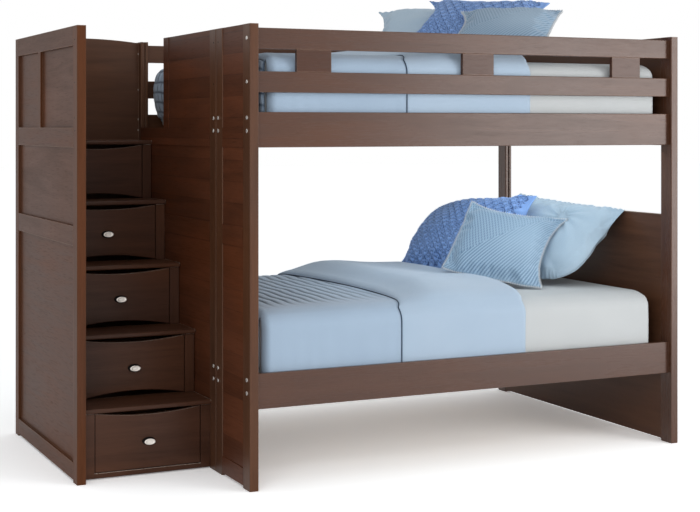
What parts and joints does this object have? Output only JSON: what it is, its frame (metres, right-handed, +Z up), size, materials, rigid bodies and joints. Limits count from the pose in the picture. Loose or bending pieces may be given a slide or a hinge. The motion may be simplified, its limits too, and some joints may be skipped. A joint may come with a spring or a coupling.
{
  "type": "bunk bed with storage stairs",
  "caption": "Bunk bed of frame-and-panel end walls with two made-up sleeping levels, guard rails and a staircase of pull-out drawers at one end.",
  "frame": {"origin": "on the floor, under the middle of the overall length and depth", "axes": "+X along the beds from the stairs to the headboard, +Y to the back wall side, +Z up"},
  "size_m": [2.5596, 1.44, 1.985],
  "materials": {
    "brown_wood": "satin dark brown stain",
    "drawer_wood": "satin",
    "platform_wood": "satin",
    "bolt_steel": "satin",
    "slide_steel": "satin",
    "nickel": "brushed nickel",
    "plug_plastic": "matte",
    "mattress_fabric": "matte",
    "pale_blue_fabric": "matte",
    "royal_blue_fabric": "matte",
    "grey_blue_fabric": "matte"
  },
  "bodies": {
    "bed": {"barrel_nuts": "bolt_steel", "centre_beams": "platform_wood", "end_beams": "platform_wood", "extension_rear_stile": "brown_wood", "false_front": "brown_wood", "fixed_slides": "slide_steel", "front_lower_guard_rail": "brown_wood", "front_top_guard_rail": "brown_wood", "guard_spacer_blocks": "brown_wood", "headboard_panel": "brown_wood", "hole_plugs": "plug_plastic", "joint_bolts": "bolt_steel", "lower_blue_pillow": "royal_blue_fabric", "lower_covers": "pale_blue_fabric", "lower_front_side_rail": "brown_wood", "lower_mattress": "mattress_fabric", "lower_ribbed_pillow": "grey_blue_fabric", "lower_sham": "pale_blue_fabric", "rear_guard_rails": "brown_wood", "rear_side_rails": "brown_wood", "right_end_posts": "brown_wood", "slat_ledgers": "platform_wood", "slats": "platform_wood", "stair_back_guard": "brown_wood", "stair_back_panel": "brown_wood", "stair_side_infill": "brown_wood", "stair_side_posts": "brown_wood", "stair_side_rails": "brown_wood", "step_face_frames": "brown_wood", "stepped_side_boards": "brown_wood", "treads": "brown_wood", "upper_blue_pillow": "royal_blue_fabric", "upper_covers": "pale_blue_fabric", "upper_end_panel": "brown_wood", "upper_front_side_rail": "brown_wood", "upper_mattress": "mattress_fabric", "upper_ribbed_pillow": "grey_blue_fabric", "upper_sham": "pale_blue_fabric", "wall_cross_rails": "brown_wood", "wall_front_post": "brown_wood", "wall_guard_boards": "brown_wood", "wall_infill_boards": "brown_wood", "wall_inner_stile": "brown_wood", "wall_rear_post": "brown_wood"},
    "drawer_1": {"drawer_1_front": "brown_wood", "drawer_1_box": "drawer_wood", "drawer_1_knob": "nickel", "drawer_1_slides": "slide_steel"},
    "drawer_2": {"drawer_2_front": "brown_wood", "drawer_2_box": "drawer_wood", "drawer_2_knob": "nickel", "drawer_2_slides": "slide_steel"},
    "drawer_3": {"drawer_3_front": "brown_wood", "drawer_3_box": "drawer_wood", "drawer_3_knob": "nickel", "drawer_3_slides": "slide_steel"},
    "drawer_4": {"drawer_4_front": "brown_wood", "drawer_4_box": "drawer_wood", "drawer_4_knob": "nickel", "drawer_4_slides": "slide_steel"}
  },
  "joints": [
    {"name": "drawer_1_slide", "type": "slide", "parent": "bed", "child": "drawer_1", "axis": [0, -1, 0], "range_m": [0, 0.26]},
    {"name": "drawer_2_slide", "type": "slide", "parent": "bed", "child": "drawer_2", "axis": [0, -1, 0], "range_m": [0, 0.26]},
    {"name": "drawer_3_slide", "type": "slide", "parent": "bed", "child": "drawer_3", "axis": [0, -1, 0], "range_m": [0, 0.26]},
    {"name": "drawer_4_slide", "type": "slide", "parent": "bed", "child": "drawer_4", "axis": [0, -1, 0], "range_m": [0, 0.26]}
  ]
}
